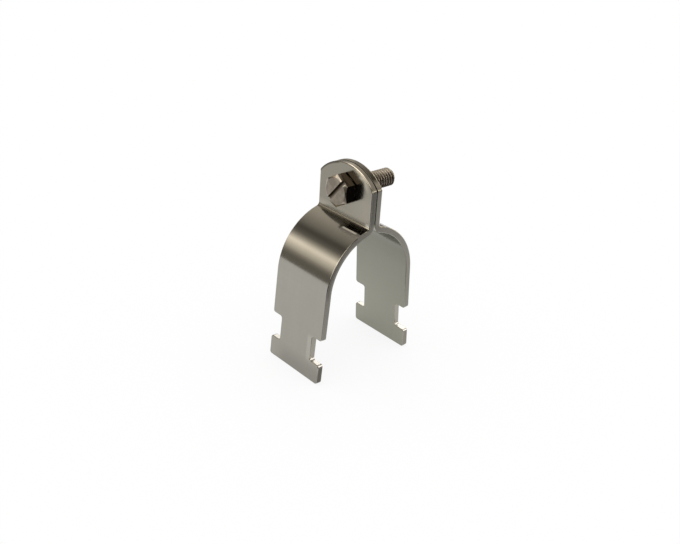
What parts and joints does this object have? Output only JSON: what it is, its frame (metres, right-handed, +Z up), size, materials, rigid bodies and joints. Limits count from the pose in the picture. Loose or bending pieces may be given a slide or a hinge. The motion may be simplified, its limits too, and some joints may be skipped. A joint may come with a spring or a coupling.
{
  "type": "conduit clamp",
  "caption": "Two-piece strut-channel conduit clamp: bent steel straps with T-shaped feet, drawn together ear to ear by a slotted hex-head screw and nut.",
  "frame": {"origin": "on the plane that the feet stand on, half way between the ears and half way along the strap's width", "axes": "+Z up from the feet to the ears, +X along the screw from its head to its tip, +Y along the conduit"},
  "size_m": [0.054, 0.0318, 0.0889],
  "materials": {
    "strap_steel": "polished stainless steel sheet",
    "screw_steel": "bright stainless steel, turned and rolled"
  },
  "bodies": {
    "front_half": {"front_strap": "strap_steel"},
    "screw": {"clamp_screw": "screw_steel"},
    "rear_half": {"rear_strap": "strap_steel", "clamp_nut": "screw_steel"}
  },
  "joints": [
    {"name": "screw_turn", "type": "hinge", "parent": "front_half", "child": "screw", "pos_m": [0, 0, 0.07801], "axis": [-1, 0, 0], "range_deg": [0, 3240]},
    {"name": "jaw_opening", "type": "slide", "parent": "front_half", "child": "rear_half", "axis": [1, 0, 0], "range_m": [0, 0.0127]}
  ],
  "couplings": [
    {"joint": "screw_turn", "follows": "jaw_opening", "rad_per_m": 4452.6}
  ]
}
